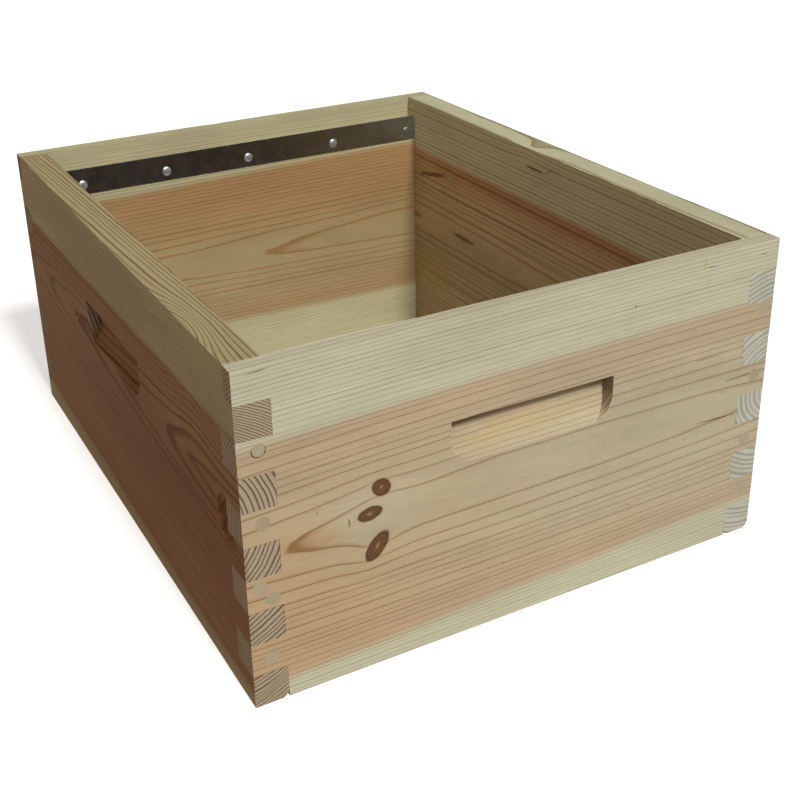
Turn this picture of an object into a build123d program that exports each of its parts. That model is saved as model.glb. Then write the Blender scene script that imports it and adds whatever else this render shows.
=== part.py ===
from build123d import *
import os

# A hive body: four pine boards finger-jointed and nailed into an open box, with a rabbet and a steel
# strip at each end on which the frames hang. Millimetres; X runs across the front, Y from front to
# back and Z up, with the origin in the middle of the bottom rim.

# Box
box_width = 420.0
box_length = 510.0
box_height = 243.0
board_thickness = 24.0

# Finger joints
finger_height = 24.5
glue_line = 0.1  # gap between two faces of a joint

# Rabbet along the top inside edge of each end board
lip_thickness = 12.0  # wood that stays outside the rabbet
rabbet_depth = 22.5  # the top finger is as tall

# Hand hold in the outer face of each board
hold_length = 130.0
hold_height = 33.0
hold_depth = 12.0
hold_flat = 10.0  # upright part of the scoop, under its top edge
hold_corner = 20.0  # radius of its lower corners
hold_clear = 1.0  # how far its cutter reaches out past the face
hold_drop = 73.0  # from the rim down to its top edge
hold_shift = 2.5  # from an end board's middle to its hold's, to the right seen from outside

# Steel strip that the frames rest on
rest_height = 24.0
rest_thickness = 1.0
rest_stand = 6.5  # how far its top edge stands above the rabbet's floor
rest_end_gap = 1.0  # between its end and the side board

# Nails of the strip
rest_nail_rise = 8.8  # above the strip's lower edge
rest_nail_length = 18.0
rest_nail_diameter = 2.0
rest_head_diameter = 8.5
rest_head_thickness = 1.2

# Where the strip's nails were driven by hand, from its middle, in shares of half its length
rest_nail_marks = [-0.952, -0.502, -0.011, 0.435, 0.866]

# Nails of the corners, sunk under filler
corner_nail_length = 60.0
corner_nail_diameter = 3.0
corner_head_diameter = 7.0
corner_head_thickness = 1.5
filler_diameter = 9.5
filler_depth = 2.0
nail_fit = 0.05  # gap all round a nail or a filler in its hole
point_taper = 2.0  # length of a nail's point, in nail diameters
wire_sides = 8  # what the wood hides of a nail is faceted

# Where the corner nails were driven by hand, one list for each nailed finger from the top down. A mark
# goes towards the box's middle and up from the finger's middle, in shares of the room beside the filler.
left_nail_marks = [[(0.3, 0.5)], [(0.25, 0.25)], [(-0.4, 0.65), (0.75, -0.7)], [(0.3, -0.2)]]
right_nail_marks = [[(-0.35, 0.95)], [(-0.15, 0.3)], [(0.2, -0.3)], [(0.0, 0.25)]]

# Places that several pieces share
half_width = box_width / 2
half_length = box_length / 2
inner_half_width = half_width - board_thickness
inner_half_length = half_length - board_thickness
rest_top = box_height - rabbet_depth + rest_stand
rest_length = 2 * (inner_half_width - rest_end_gap)
half_turn = Rot(0, 0, 180)


def finger_spans():
    """Bottom and top of each finger from the rim down: the end boards' and the side boards' in turn."""
    below_rabbet = round((box_height - rabbet_depth) / finger_height)
    edges = [box_height]
    for step in range(below_rabbet):
        edges.append(box_height - rabbet_depth - step * finger_height)
    edges.append(0.0)
    return list(zip(edges[1:], edges))


def socket(depth, span):
    """Outline of one finger's socket at the right end of a board, with room for glue."""
    low, high = span
    room = Rectangle(depth + glue_line, high - low + glue_line)
    return Pos(-(depth + glue_line) / 2, (low + high) / 2) * room


def board_outline(length, sockets):
    """Outline of a board with the same sockets at both ends, standing on its lower edge."""
    outline = Pos(0, box_height / 2) * Rectangle(length, box_height)
    cuts = [Pos(length / 2, 0) * cut for cut in sockets]
    return outline - cuts - [mirror(cut, Plane.YZ) for cut in cuts]


def hold_cutter():
    """The scoop of a hand hold, going along +Y into a face at the origin: its section within its outline."""
    wall = Polyline((-hold_clear, -hold_height), (-hold_clear, 0), (hold_depth, 0), (hold_depth, -hold_flat))
    floor = TangentArc((hold_depth, -hold_flat), (0, -hold_height), tangent=(0, -1))
    section = make_face(wall + floor + Line((0, -hold_height), (-hold_clear, -hold_height)))
    outline = Rectangle(hold_length, hold_height + hold_clear, align=(Align.CENTER, Align.MAX))
    outline = fillet(outline.vertices().sort_by(Axis.Y)[:2], hold_corner)
    scoop = extrude(Plane.YZ * section, hold_length, both=True)
    return scoop & extrude(Plane.XZ * outline, 2 * hold_depth, both=True)


def nail(head, head_thickness, diameter, length, room):
    """A nail along -Z with the top of its head at the origin, or the hole for it with room all round."""
    wire = RegularPolygon(diameter / 2 + room, wire_sides)
    point_length = point_taper * diameter
    neck = Pos(0, 0, -head_thickness) * wire
    shoulder = Pos(0, 0, point_length - length) * wire
    shank = extrude(neck, head_thickness + point_length - length)
    point = loft([shoulder.face(), Vertex(0, 0, -length - room)])
    return extrude(head, -head_thickness) + shank + point


def corner_nail(room=0.0):
    """A corner nail, or the hole for it."""
    head = RegularPolygon(corner_head_diameter / 2 + room, wire_sides)
    return nail(head, corner_head_thickness, corner_nail_diameter, corner_nail_length, room)


def rest_nail(room=0.0):
    """A nail of the steel strip, or the hole for it."""
    head = Circle(rest_head_diameter / 2 + room)
    return nail(head, rest_head_thickness, rest_nail_diameter, rest_nail_length, room)


def filler(room=0.0):
    """The disc of filler over a sunk nail, or the hole for it, with its face at the origin."""
    top = (Align.CENTER, Align.CENTER, Align.MAX)
    return Cylinder(filler_diameter / 2 + room, filler_depth, align=top)


def corner_places(marks, side):
    """Where the front face takes its corner nails, on the left (side -1) or on the right (side 1)."""
    across_room = (board_thickness - filler_diameter) / 2
    nailed = finger_spans()[2::2]
    places = []
    for index, (low, high) in enumerate(nailed):
        up_room = (high - low - filler_diameter) / 2
        for across, up in marks[index % len(marks)]:
            x = side * (half_width - board_thickness / 2 - across * across_room)
            z = (low + high) / 2 + up * up_room
            places.append(Pos(x, -half_length, z) * Rot(90, 0, 0))
    return places


# Sunk corner nails start under their filler
sunk = Pos(0, 0, -filler_depth)
left_corner = corner_places(left_nail_marks, -1)
right_corner = corner_places(right_nail_marks, 1)


def rest_nail_places():
    """Where the front strip takes its nails."""
    y = -inner_half_length + rest_thickness + rest_head_thickness
    z = rest_top - rest_height + rest_nail_rise
    return [Pos(mark * rest_length / 2, y, z) * Rot(-90, 0, 0) for mark in rest_nail_marks]


def front_end_board():
    """The front board: outline with fingers, rabbet, hand hold and nail holes."""
    sockets = [socket(board_thickness, span) for span in finger_spans()[1::2]]
    outline = Plane.XZ * board_outline(box_width, sockets)
    board = Pos(0, -inner_half_length, 0) * extrude(outline, board_thickness)
    rabbet = Rectangle(board_thickness - lip_thickness, rabbet_depth, align=(Align.MAX, Align.MAX))
    section = Plane.YZ * Pos(-inner_half_length, box_height) * rabbet
    board -= extrude(section, half_width, both=True)
    board -= Pos(hold_shift, -half_length, box_height - hold_drop) * hold_cutter()
    board -= [place * filler(nail_fit) for place in left_corner + right_corner]
    board -= [place * sunk * corner_nail(nail_fit) for place in left_corner + right_corner]
    return board - [place * rest_nail(nail_fit) for place in rest_nail_places()]


def left_side_board():
    """The left board: its top ends close the rabbets, and its fingers fill the end boards' sockets."""
    top, *others = finger_spans()[0::2]
    sockets = [socket(lip_thickness, top)] + [socket(board_thickness, span) for span in others]
    outline = Plane.YZ * board_outline(box_length, sockets)
    board = Pos(-half_width, 0, 0) * extrude(outline, board_thickness)
    board -= Rot(0, 0, -90) * Pos(0, -half_width, box_height - hold_drop) * hold_cutter()
    front_holes = [place * sunk * corner_nail(nail_fit) for place in left_corner]
    back_holes = [half_turn * place * sunk * corner_nail(nail_fit) for place in right_corner]
    return board - front_holes - back_holes


def front_frame_rest():
    """The strip on the front board's inner face, upright, with its nail holes."""
    top_edge = (Align.CENTER, Align.MIN, Align.MAX)
    strip = Box(rest_length, rest_thickness, rest_height, align=top_edge)
    strip = Pos(0, -inner_half_length, rest_top) * strip
    return strip - [place * rest_nail(nail_fit) for place in rest_nail_places()]


def group(piece, places):
    """Like pieces at several places, as separate solids of one node."""
    return Compound([(place * piece).solid() for place in places])


# The pieces of the front and the left; the back and the right are the same pieces turned half a turn
nodes = {
    "front_board": front_end_board(),
    "left_board": left_side_board(),
    "front_frame_rest": front_frame_rest(),
    "front_rest_nails": group(rest_nail(), rest_nail_places()),
    "front_left_corner_nails": group(sunk * corner_nail(), left_corner),
    "front_right_corner_nails": group(sunk * corner_nail(), right_corner),
    "front_left_nail_fillers": group(filler(), left_corner),
    "front_right_nail_fillers": group(filler(), right_corner),
}
opposite = {"front": "back", "left": "right", "right": "left"}
for name, piece in list(nodes.items()):
    turned_name = "_".join(opposite.get(word, word) for word in name.split("_"))
    nodes[turned_name] = half_turn * piece

os.makedirs("parts", exist_ok=True)
for name, piece in nodes.items():
    export_step(piece, f"parts/{name}.step")
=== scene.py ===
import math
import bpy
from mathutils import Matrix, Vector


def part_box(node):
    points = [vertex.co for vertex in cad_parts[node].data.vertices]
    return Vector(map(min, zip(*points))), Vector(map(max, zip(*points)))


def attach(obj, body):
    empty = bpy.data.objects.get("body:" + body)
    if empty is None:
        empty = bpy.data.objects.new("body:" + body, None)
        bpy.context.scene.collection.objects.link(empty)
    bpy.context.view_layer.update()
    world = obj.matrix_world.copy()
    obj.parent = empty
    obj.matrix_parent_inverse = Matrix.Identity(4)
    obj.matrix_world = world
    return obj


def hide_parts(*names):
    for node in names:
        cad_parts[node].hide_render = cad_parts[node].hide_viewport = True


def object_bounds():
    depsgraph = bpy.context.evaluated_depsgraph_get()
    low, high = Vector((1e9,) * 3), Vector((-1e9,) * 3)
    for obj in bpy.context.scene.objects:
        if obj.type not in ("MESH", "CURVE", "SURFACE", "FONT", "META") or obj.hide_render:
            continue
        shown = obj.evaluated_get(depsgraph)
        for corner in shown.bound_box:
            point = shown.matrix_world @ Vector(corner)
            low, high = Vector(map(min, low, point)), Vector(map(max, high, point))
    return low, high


bl_info = {
    "name": "Hive body",
    "version": (1, 0, 0),
    "blender": (4, 5, 0),
    "location": "View3D > Sidebar > Hive body",
    "description": "Finishes a finger-jointed pine hive body, its frame rests, nails and nail filler",
    "category": "Object",
}

from typing import NamedTuple

import bmesh
import bpy
from bpy.props import FloatProperty, FloatVectorProperty, IntProperty, PointerProperty
from mathutils import Matrix, Vector, noise

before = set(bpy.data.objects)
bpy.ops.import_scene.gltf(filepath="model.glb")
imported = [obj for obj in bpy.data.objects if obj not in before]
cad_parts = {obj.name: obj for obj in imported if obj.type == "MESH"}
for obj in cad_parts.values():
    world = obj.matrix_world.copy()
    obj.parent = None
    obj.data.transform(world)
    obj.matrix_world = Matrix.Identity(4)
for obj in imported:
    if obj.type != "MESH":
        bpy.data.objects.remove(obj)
cad_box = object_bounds()

MM = 0.001
WELD = 1e-6
BODY = "root"
ENDS = ("front", "back")
CORNERS = ("front_left", "front_right", "back_left", "back_right")
BOX_LOW, BOX_HIGH = cad_box
RIM = BOX_HIGH.z
INNER_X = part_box("right_board")[0].x
INNER_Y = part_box("back_board")[0].y


# Timber


class Knot(NamedTuple):
    """A branch that runs out from the pith through a board. Millimetres, on the board's shown face."""

    along: float
    up: float
    length: float  # half its length
    height: float  # half its height
    turn: float  # of its long axis, in degrees
    push: float  # how many rings it pushes aside
    reach: float  # how far that goes, in knot radii


class Patch(NamedTuple):
    """A place on a board's shown face, in millimetres, round which an effect fades away."""

    along: float
    up: float
    reach: tuple  # along the grain, through the board and up
    strength: float
    deep: float = 0  # how far it lies under the face


class Mark(NamedTuple):
    """A streak, speck or patch on a board's shown face, in millimetres. Most are the wood's own marks; some
    dark and yellow patches are painted shade.
    """

    along: float
    up: float
    length: float  # half its length
    height: float  # half its height
    strength: float
    turn: float = 0  # of its long axis, in degrees
    deep: float = 0  # how far it lies under the face


class Timber(NamedTuple):
    """Where a board lay in its log, in millimetres, and what shows on it."""

    turned: bool  # the grain runs front to back
    face: float  # where the shown face lies, across the board
    pith: tuple  # the pith line beside the board's middle, across and up
    lean: tuple  # how far the pith line drifts across and up for each millimetre along the grain
    bow: float  # how far it has bowed at BOW_REACH from the board's middle
    sway: float  # how far the rings stray
    ring_width: float
    close: float  # how much closer the rings lie in the sapwood
    phase: float  # shifts the rings, in rings
    bold: float  # how strongly the dense wood shows
    broad: float  # how much of a ring it takes
    end_bold: float  # how strongly it shows across the grain
    heart_edge: float  # radius of the heartwood
    heart_tilt: float  # how much further down than up the heartwood reaches
    heart_tint: tuple  # what this board takes from the heartwood's colours
    sap_tint: tuple  # from the sapwood's
    end_tint: tuple  # and from the end grain's
    seed: float
    late_tint: tuple = (1, 1, 1)  # what it takes from the dense wood's colours
    knots: tuple = ()
    swells: tuple = ()  # where the rings bulge round a branch, in rings
    blushes: tuple = ()  # where the heartwood is warmer
    pitch: tuple = ()  # dark marks: the wood's own streaks, and patches of painted shade
    resin: tuple = ()  # yellow marks: the wood's own resinous streaks, and patches of painted warm shade


TIMBER = {
    "front_board": Timber(
        turned=False, face=BOX_LOW.y / MM, pith=(-330, 117), lean=(0.0025, 0.020), bow=-1.7, sway=1.4,
        ring_width=3.13, close=0.2, phase=0.36, bold=0.85, broad=0, end_bold=0.5, heart_edge=113.6,
        heart_tilt=0.07, heart_tint=(0.98, 0.98, 0.98), sap_tint=(0.98, 0.98, 0.98),
        # The end tint is darker partly as painted shade, for the end grain on the shaded left side.
        end_tint=(0.60, 0.47, 0.36), seed=3,
        knots=(
            Knot(-114.5, 137.5, 6.9, 6.2, -30, 0.12, 1.9),
            Knot(-123, 120.3, 9, 5, 8, 0, 2),
            Knot(-118.4, 94.3, 12, 6.2, 52, 0.4, 2.5),
        ),
        swells=(
            Patch(-165, 112, (50, 90, 34), -0.09),
            Patch(-120, 116, (24, 90, 40), 0.22),
        ),
        blushes=(
            Patch(-210, 70, (190, 100, 110), 0.9),
            Patch(-122, 118, (32, 100, 24), -0.6),
            Patch(-164, 113, (22, 100, 7), 0.7),
        ),
        pitch=(
            Mark(140, 128, 130, 44, 0.09, turn=1),
            Mark(165, 109, 24, 0.9, 0.75, turn=-2),
            Mark(190, 139, 26, 1.3, 0.55, turn=1),
            Mark(150, 162.3, 14, 0.7, 0.4, turn=1),
            Mark(148, 233.5, 6, 0.6, 0.7, turn=-2),
            Mark(196, 233.5, 4.5, 0.8, 0.5),
            Mark(83, 218, 1.3, 0.8, 0.85, turn=-20),
            Mark(-160, 133, 0.7, 2.2, 0.45),
            Mark(170, 130, 1.2, 0.8, 0.7, turn=-30),
            Mark(-20, 46.5, 1.1, 0.7, 0.7, turn=-35),
            Mark(88, 59.5, 1, 0.7, 0.6),
            Mark(-194, 239.6, 10, 0.5, 0.7, turn=3),
            Mark(-138, 118, 0.9, 4.6, 0.7, turn=6),
        ),
        resin=(
            # These two broad yellow patches inside the hand hold are painted warm shade in the recess.
            Mark(-30, 140, 34, 9, 0.22, turn=4, deep=9),
            Mark(0, 150, 66, 15, 0.18, turn=2, deep=8),
            Mark(142, 237, 1.3, 5.5, 0.8),
        ),
    ),
    "back_board": Timber(
        turned=False, face=INNER_Y / MM, pith=(171, 114.5), lean=(0.0117, 0), bow=0, sway=3, ring_width=2.7,
        close=0.1, phase=0.86, bold=1, broad=0.1, end_bold=0.5, heart_edge=94.9, heart_tilt=-0.033,
        # The heart and sap tints are darker partly as painted shade, for light falling off towards the back;
        # the rest is the board's own colour.
        heart_tint=(0.77, 0.68, 0.52), sap_tint=(0.88, 0.86, 0.72), end_tint=(0.48, 0.38, 0.29), seed=11,
        late_tint=(1.45, 1.3, 1.2),
        blushes=(Patch(60, 178, (300, 100, 46), 1),),
        # This broad dark patch towards the right end is painted shade, as cast by the right board.
        pitch=(Mark(170, 100, 130, 90, 0.10),),
        resin=(Mark(184, 231.5, 5, 9, 0.35, deep=18),),
    ),
    "left_board": Timber(
        turned=True, face=BOX_LOW.x / MM, pith=(-255, 142), lean=(0.037, 0), bow=0, sway=3.2, ring_width=3.3,
        close=0.7, phase=0.3, bold=1.25, broad=0.6, end_bold=0.8, heart_edge=87, heart_tilt=0.375,
        # The heart and sap tints are darker and redder partly as painted shade and warm bounce light on the
        # outer face, which the key light does not reach; the rest is the board's own colour.
        heart_tint=(0.555, 0.37, 0.24), sap_tint=(0.74, 0.64, 0.48), end_tint=(0.74, 0.60, 0.48), seed=23,
        swells=(Patch(-178, 243, (40, 16, 60), 4.5, deep=-5),),
        blushes=(Patch(-190, 105, (210, 100, 50), 1),),
        pitch=(
            # These two patches inside the hand hold are painted shade in the recess.
            Mark(62, 158, 12, 22, 0.5, deep=11),
            Mark(0, 160, 80, 18, 0.55, deep=11),
            # These three broad patches are painted shade on the shaded outer face.
            Mark(-110, 106, 300, 60, 0.25),
            Mark(0, 214, 330, 34, 0.12),
            Mark(0, 14, 330, 22, 0.14),
            Mark(-150, 76, 95, 3.4, 0.4),
            Mark(-40, 58, 130, 2.4, 0.3),
            Mark(-135, 116, 80, 4.5, 0.4),
            Mark(60, 96, 150, 2.2, 0.3),
            Mark(-170, 42, 60, 1.8, 0.3),
            # This one darkens the hollow beside the finger.
            Mark(-224, 130, 13, 18, 0.9),
            Mark(200, 150, 24, 6, 0.2),
            Mark(112, 146, 20, 6, 0.14),
        ),
    ),
    "right_board": Timber(
        turned=True, face=INNER_X / MM, pith=(219, 121), lean=(0.004, 0), bow=0, sway=2.4, ring_width=4.2,
        close=0.1, phase=0.55, bold=1, broad=0.35, end_bold=0.4, heart_edge=97.2, heart_tilt=0.25,
        heart_tint=(1, 0.87, 0.69), sap_tint=(0.98, 1, 0.90), end_tint=(0.88, 0.89, 0.86), seed=37,
        swells=(Patch(26, 243, (22, 12, 15), 0.7, deep=4),),
        blushes=(Patch(0, 187, (400, 100, 9), 0.6),),
        pitch=(
            Mark(20, 187, 260, 8.5, 0.22),
            Mark(90, 160, 150, 2.4, 0.4),
            Mark(70, 144, 170, 1.6, 0.35),
            Mark(100, 100, 140, 2.2, 0.35),
            Mark(120, 66, 130, 5, 0.3),
            Mark(120, 96, 170, 48, 0.15),
            Mark(192, 174, 34, 3.2, 0.8, turn=-11),
            Mark(134, 123, 27, 3.2, 0.8),
            Mark(15, 226, 17, 1.4, 0.9),
            Mark(-7, 229.8, 8, 1, 0.55, turn=-33),
        ),
        resin=(Mark(205, 66, 60, 34, 0.45),),
    ),
}


# Settings


def size(name, description, millimetres):
    """A length that the user may change, given in millimetres and kept in metres."""
    return FloatProperty(
        name=name, description=description, default=millimetres * MM, min=0.0, precision=5,
        subtype="DISTANCE", unit="LENGTH",
    )


def colour(name, description, red, green, blue):
    """A colour that the user may change."""
    return FloatVectorProperty(
        name=name, description=description, default=(red, green, blue), size=3, min=0.0, max=1.0,
        subtype="COLOR",
    )


def share(name, description, default, highest=1.0):
    """A plain number that the user may change."""
    return FloatProperty(
        name=name, description=description, default=default, min=0.0, max=highest, subtype="FACTOR",
    )


def sides(name, description, default):
    """A number of facets that the user may change."""
    return IntProperty(name=name, description=description, default=default, min=8, max=96)


class HivePine(bpy.types.PropertyGroup):
    """Edges and colours of the pine boards."""

    arris: size("Arris", "Width of the eased edges", 0.5)
    joint_arris: size("Joint arris", "Width of the eased edges of the finger joints", 0.18)
    rim_wear: size("Rim wear", "How much wider the eased edge of a rim gets in places", 1.1)
    rim_step: size("Rim step", "Distance from one point of a worn edge to the next", 5.0)
    chip: size("Chip", "Size of the broken finger corners at the bottom", 4.5)
    hollow: size("Hollow", "Depth of the hollow beside a finger of the left board", 6.0)
    sap_early: colour("Sapwood", "Pale wood of the sap", 0.500, 0.475, 0.340)
    sap_late: colour("Sapwood lines", "Dense wood of the sap", 0.225, 0.152, 0.058)
    heart_early: colour("Heartwood", "Pale wood of the heart near the pith", 0.455, 0.405, 0.268)
    heart_blush: colour("Heartwood blush", "Pale wood of the heart at its edge", 0.450, 0.350, 0.226)
    heart_warm: colour("Warm heartwood", "Pale wood of the heart in its warm parts", 0.450, 0.305, 0.168)
    heart_late: colour("Heartwood lines", "Dense wood of the heart", 0.225, 0.112, 0.039)
    end_early: colour("End grain", "Pale wood across the grain", 0.52, 0.51, 0.43)
    end_late: colour("End grain lines", "Dense wood across the grain", 0.092, 0.062, 0.040)
    knot_pale: colour("Knot", "Pale wood of a knot", 0.145, 0.062, 0.022)
    knot_dark: colour("Knot rings", "Dark wood of a knot", 0.066, 0.030, 0.013)
    knot_eye: colour("Knot eye", "Wood in the middle of a knot", 0.430, 0.280, 0.125)
    # Dark colour of the wood's own streaks and of patches of painted shade
    pitch_colour: colour("Pitch", "Dark streaks", 0.105, 0.050, 0.022)
    # Yellow colour of the wood's own resinous streaks and of patches of painted warm shade
    resin_colour: colour("Resin", "Yellow streaks", 0.440, 0.340, 0.090)
    fibre_depth: share("Fibre", "Strength of the fibre relief", 0.35)


class HiveMetal(bpy.types.PropertyGroup):
    """Finish of the steel strips and nails, with a painted sheen on the strips."""

    zinc: colour("Zinc", "Colour of the galvanised strip", 0.39, 0.40, 0.39)
    zinc_dull: colour("Dull zinc", "Colour of its darker clouds", 0.33, 0.335, 0.325)
    # The colour of the painted sheen at the strips' right ends
    zinc_painted_sheen: colour("Pale zinc", "Colour of its paler end", 0.44, 0.54, 0.60)
    bright: colour("Bright wire", "Colour of the nails", 0.72, 0.79, 0.79)
    strip_edge: size("Strip edge", "Width of the strip's broken edge", 0.12)
    head_depth: size("Head depth", "Thickness of a strip nail's head", 1.2)
    wire: size("Wire", "Diameter of a strip nail's wire", 2.0)
    head_sides: sides("Head sides", "Facets round a nail head", 32)


class HiveFiller(bpy.types.PropertyGroup):
    """Shape and colour of the filler over the sunk nails."""

    paste: colour("Filler", "Colour of the filler", 0.400, 0.340, 0.225)
    batch: colour("Other batch", "What some of the filler takes from that colour", 0.92, 0.86, 0.76)
    smear: size("Smear", "How far the filler is spread past its hole", 0.5)
    proud: size("Proud", "How far it stands out from the board", 0.05)
    shrunk: size("Shrunk", "How far one filler has drawn away from its hole", 0.45)
    sides: sides("Sides", "Facets round a filler", 28)


class HiveStage(bpy.types.PropertyGroup):
    """Floor, light and camera."""

    floor: colour("Floor", "Colour of the floor", 0.70, 0.70, 0.69)
    bounce: colour("Floor bounce", "Colour of the light that the floor throws back", 0.42, 0.41, 0.39)
    glow: colour("Floor glow", "How much the floor's shadows are lit up", 0.56, 0.56, 0.555)
    floor_size: size("Floor size", "Side of the floor", 12000)
    key: share("Key light", "Strength of the soft light in front", 3.25, 20.0)
    fill: share("Fill light", "Strength of the weak light from the left", 0.66, 20.0)
    fill_colour: colour("Fill colour", "Colour of the weak light from the left", 1.0, 0.68, 0.50)
    sky: share("Sky", "Strength of the even light from all round", 0.14, 4.0)
    backdrop: share("Backdrop", "Brightness of the far background", 1.0, 4.0)
    lens: FloatProperty(
        name="Lens", description="Focal length of the camera", default=56.066, unit="CAMERA",
    )


class HiveSettings(bpy.types.PropertyGroup):
    """All settings of the hive body."""

    pine: PointerProperty(type=HivePine)
    metal: PointerProperty(type=HiveMetal)
    filler: PointerProperty(type=HiveFiller)
    stage: PointerProperty(type=HiveStage)


# Node trees


def label(name):
    """A socket's name, from words joined by underscores."""
    return name.replace("_", " ").title()


class Graph:
    """Fills a shader node tree. A value is a number, a colour, a vector or another node's output."""

    def __init__(self, tree):
        self.tree = tree

    def node(self, kind, inputs, **settings):
        """Adds a node, sets its properties and fills its inputs by index or name."""
        made = self.tree.nodes.new(kind)
        row, column = divmod(len(self.tree.nodes), 14)
        made.location = (column * 200, -row * 320)
        for name, setting in settings.items():
            setattr(made, name, setting)
        for key, value in inputs.items():
            self.feed(value, made.inputs[key])
        return made

    def feed(self, value, socket):
        """Links an output to an input, or sets the input to a constant."""
        if isinstance(value, bpy.types.NodeSocket):
            self.tree.links.new(value, socket)
        else:
            socket.default_value = value

    def fill(self, sockets, **values):
        """Feeds sockets that are named in words joined by underscores."""
        for name, value in values.items():
            self.feed(value, sockets[label(name)])

    def place(self, group, **inputs):
        """Places a node group and fills its inputs."""
        made = self.node("ShaderNodeGroup", {}, node_tree=group)
        self.fill(made.inputs, **inputs)
        return made.outputs

    def math(self, operation, *values, clamp=False):
        """A number worked out from others."""
        inputs = dict(enumerate(values))
        return self.node("ShaderNodeMath", inputs, operation=operation, use_clamp=clamp).outputs[0]

    def scaled(self, value, factor, offset=0.0):
        """A number times another, with a third one added."""
        return self.math("MULTIPLY_ADD", value, factor, offset)

    def fade(self, near):
        """What is left of an effect at a distance, given in shares of its reach."""
        return self.math("EXPONENT", self.scaled(self.scaled(near, near), -1.0))

    def vector(self, operation, *values):
        """A vector worked out from others, or a length."""
        made = self.node("ShaderNodeVectorMath", dict(enumerate(values)), operation=operation)
        return made.outputs["Value" if operation == "LENGTH" else "Vector"]

    def times(self, vector, factor):
        """A vector times a number."""
        made = self.node("ShaderNodeVectorMath", {"Vector": vector, "Scale": factor}, operation="SCALE")
        return made.outputs["Vector"]

    def parts(self, vector):
        """X, Y and Z of a vector."""
        return self.node("ShaderNodeSeparateXYZ", {0: vector}).outputs

    def grey(self, value):
        """A colour of three equal numbers."""
        return self.node("ShaderNodeCombineColor", {0: value, 1: value, 2: value}).outputs[0]

    def ramp(self, value, low, high, to_low=0.0, to_high=1.0):
        """A soft step from one value to another."""
        inputs = {"Value": value, 1: low, 2: high, 3: to_low, 4: to_high}
        return self.node("ShaderNodeMapRange", inputs, interpolation_type="SMOOTHSTEP").outputs[0]

    def blend(self, factor, first, second, mode="MIX"):
        """A colour between two others."""
        inputs = {0: factor, 6: first, 7: second}
        return self.node("ShaderNodeMix", inputs, data_type="RGBA", blend_type=mode).outputs[2]

    def tinted(self, first, second):
        """A colour times another."""
        return self.blend(1.0, first, second, "MULTIPLY")

    def noise(self, point, waves, detail=2.0, roughness=0.5, shift=(0, 0, 0)):
        """Cloudy noise from 0 to 1, with so many waves to a millimetre, all round or along each axis."""
        if not isinstance(waves, tuple):
            waves = (waves, waves, waves)
        vector = self.vector("MULTIPLY_ADD", point, waves, shift)
        inputs = {"Vector": vector, "Scale": 1.0, "Detail": detail, "Roughness": roughness}
        return self.node("ShaderNodeTexNoise", inputs, noise_dimensions="3D").outputs["Fac"]

    def wander(self, value):
        """Noise along a line, from 0 to 1."""
        inputs = {"W": value, "Scale": 1.0, "Detail": 1.0, "Roughness": 0.5}
        return self.node("ShaderNodeTexNoise", inputs, noise_dimensions="1D").outputs["Fac"]

    def bump(self, height, strength, distance):
        """A normal that follows a height."""
        inputs = {"Height": height, "Strength": strength, "Distance": distance}
        return self.node("ShaderNodeBump", inputs).outputs[0]


SOCKETS = {"value": "NodeSocketFloat", "vector": "NodeSocketVector", "colour": "NodeSocketColor"}


def new_group(name, inputs, outputs):
    """An empty node group, as its graph, its inputs and the sockets that take its outputs."""
    tree = bpy.data.node_groups.new(name, "ShaderNodeTree")
    for direction, sockets in (("INPUT", inputs), ("OUTPUT", outputs)):
        for kind, names in sockets.items():
            for each in names:
                tree.interface.new_socket(each, in_out=direction, socket_type=SOCKETS[kind])
    given = tree.nodes.new("NodeGroupInput").outputs
    taken = tree.nodes.new("NodeGroupOutput").inputs
    return Graph(tree), given, taken


already_built = {}


def shared(build):
    """The node group or material that a function builds, built once."""
    if build not in already_built:
        already_built[build] = build()
    return already_built[build]


def rgba(values, level=1.0):
    """A colour with full alpha, or a darker level of it."""
    return (*(level * part for part in values), 1.0)


BOW_REACH = 200.0

# What the rings take from a board's timber
RING_VALUES = ("bow", "sway", "ring_width", "close", "heart_edge", "heart_tilt", "phase", "broad", "seed")


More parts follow.
